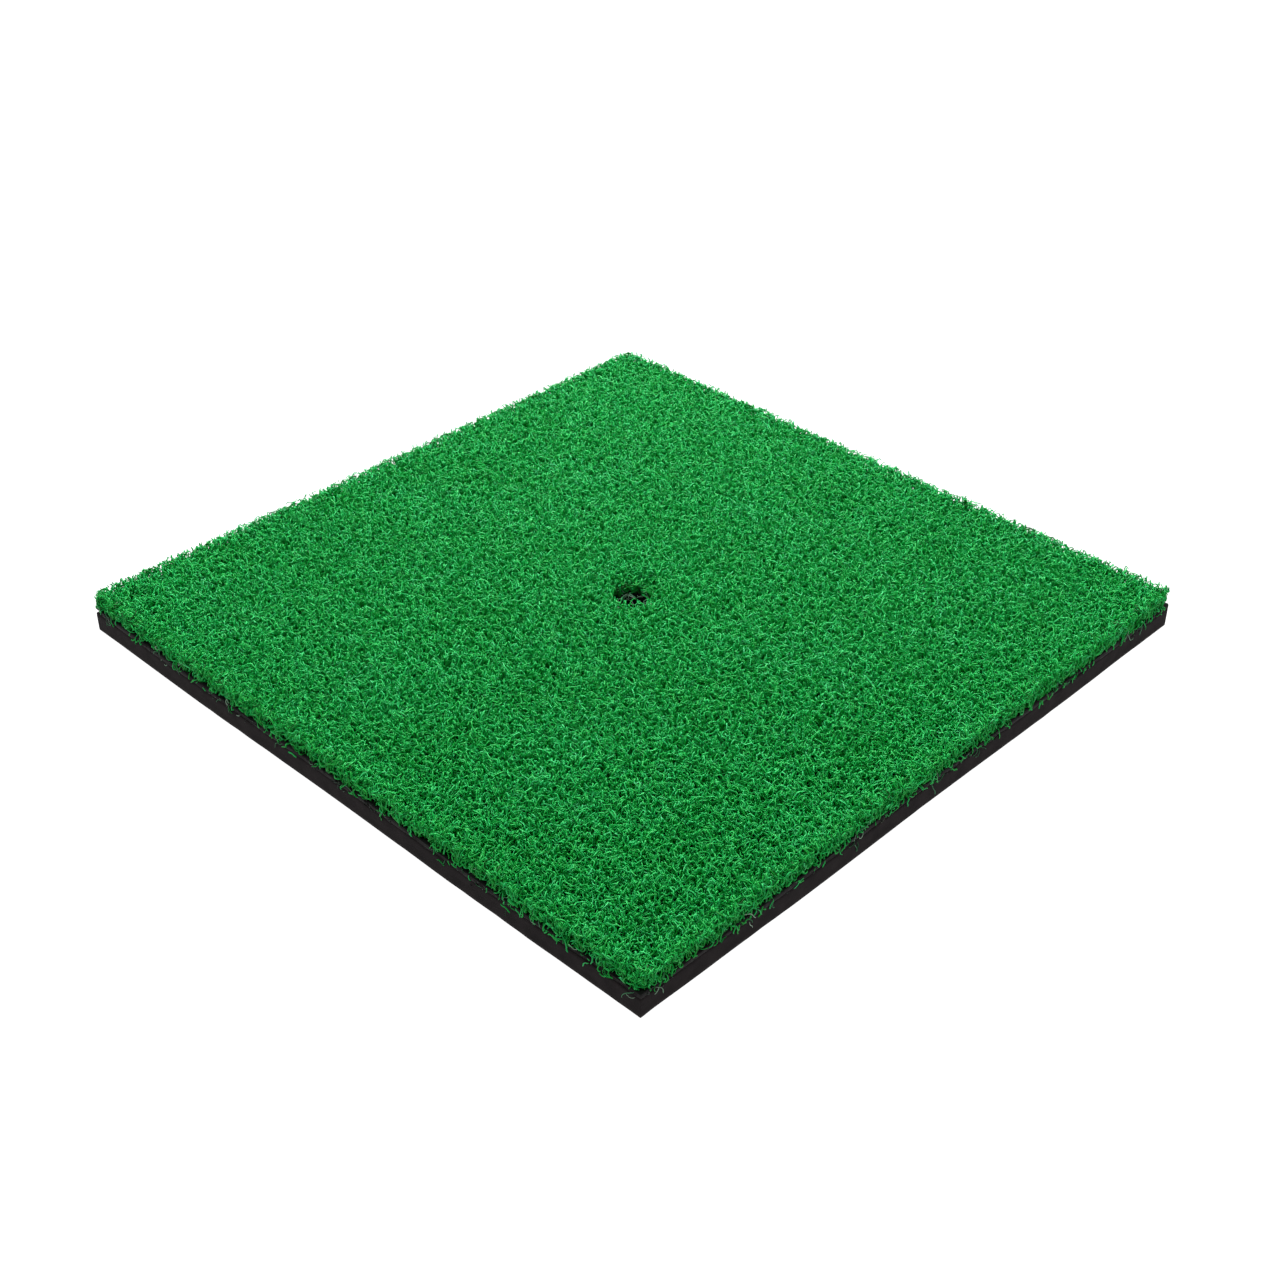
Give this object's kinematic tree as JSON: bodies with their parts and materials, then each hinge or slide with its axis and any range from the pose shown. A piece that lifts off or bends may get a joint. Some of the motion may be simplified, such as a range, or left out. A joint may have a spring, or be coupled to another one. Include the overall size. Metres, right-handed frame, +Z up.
{
  "type": "golf hitting mat",
  "caption": "Small square practice mat of curly green turf on a black foam base, with a round tee hole through its middle.",
  "frame": {"origin": "centre of the underside, on the ground that the mat lies on, in line with the tee hole", "axes": "+Z up out of the turf, X and Y along the mat's cut edges"},
  "size_m": [0.3, 0.3, 0.018],
  "materials": {
    "foam": "matt closed-cell foam, knife-cut sides",
    "adhesive": "dried contact adhesive",
    "latex": "dull black latex coat",
    "backing_cloth": "black woven tape yarn with a frayed cut edge",
    "turf": "curled green turf yarn, satin"
  },
  "bodies": {
    "root": {"foam_base": "foam", "adhesive_film": "adhesive", "latex_coating": "latex", "primary_backing": "backing_cloth", "turf_pile": "turf"}
  },
  "joints": []
}
